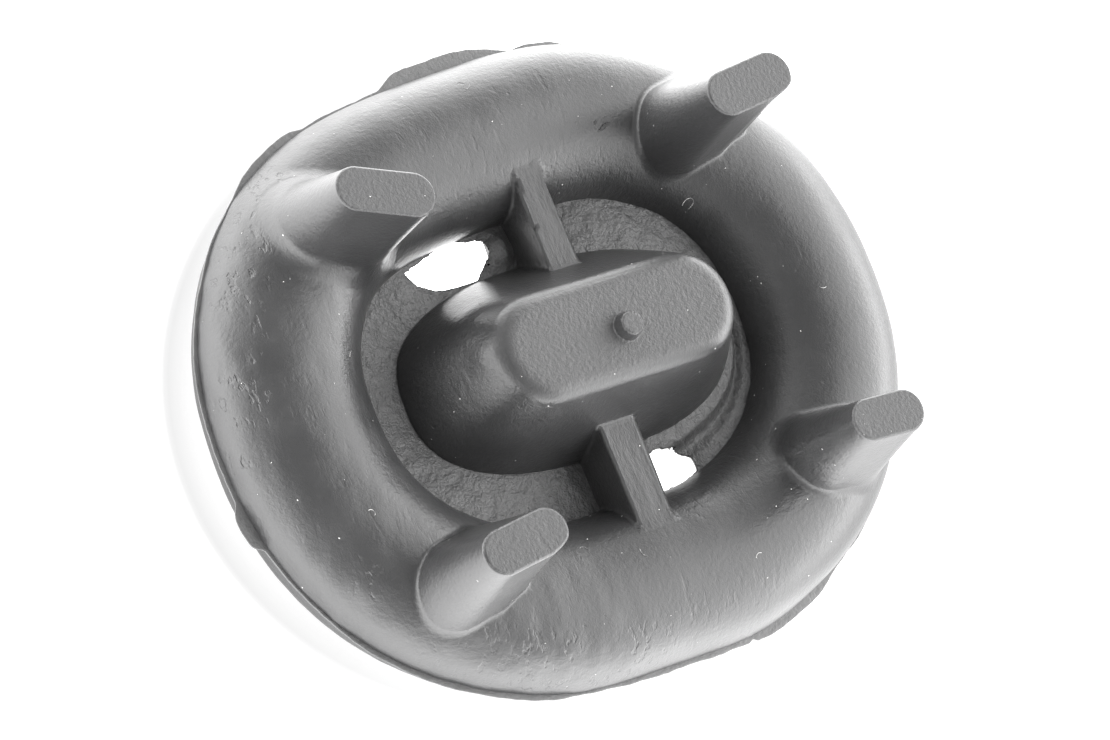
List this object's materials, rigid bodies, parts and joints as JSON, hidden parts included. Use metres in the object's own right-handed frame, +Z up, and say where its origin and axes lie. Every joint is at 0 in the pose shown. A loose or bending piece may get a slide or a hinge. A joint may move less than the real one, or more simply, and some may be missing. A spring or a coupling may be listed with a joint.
{
  "type": "exhaust hanger rubber",
  "caption": "Moulded rubber hanger: an oval ring with a central stop block on two webs and upright pegs that keep the wire hooks on.",
  "frame": {"origin": "middle of the oval ring at the flat land under it, which the moulding stands on", "axes": "+X along the oval's long side, +Y along the two webs, +Z up through the pegs"},
  "size_m": [0.0771, 0.0638, 0.0245],
  "materials": {
    "moulded_rubber": "satin, fine orange peel"
  },
  "bodies": {
    "root": {"hanger_rubber": "moulded_rubber"}
  },
  "joints": []
}
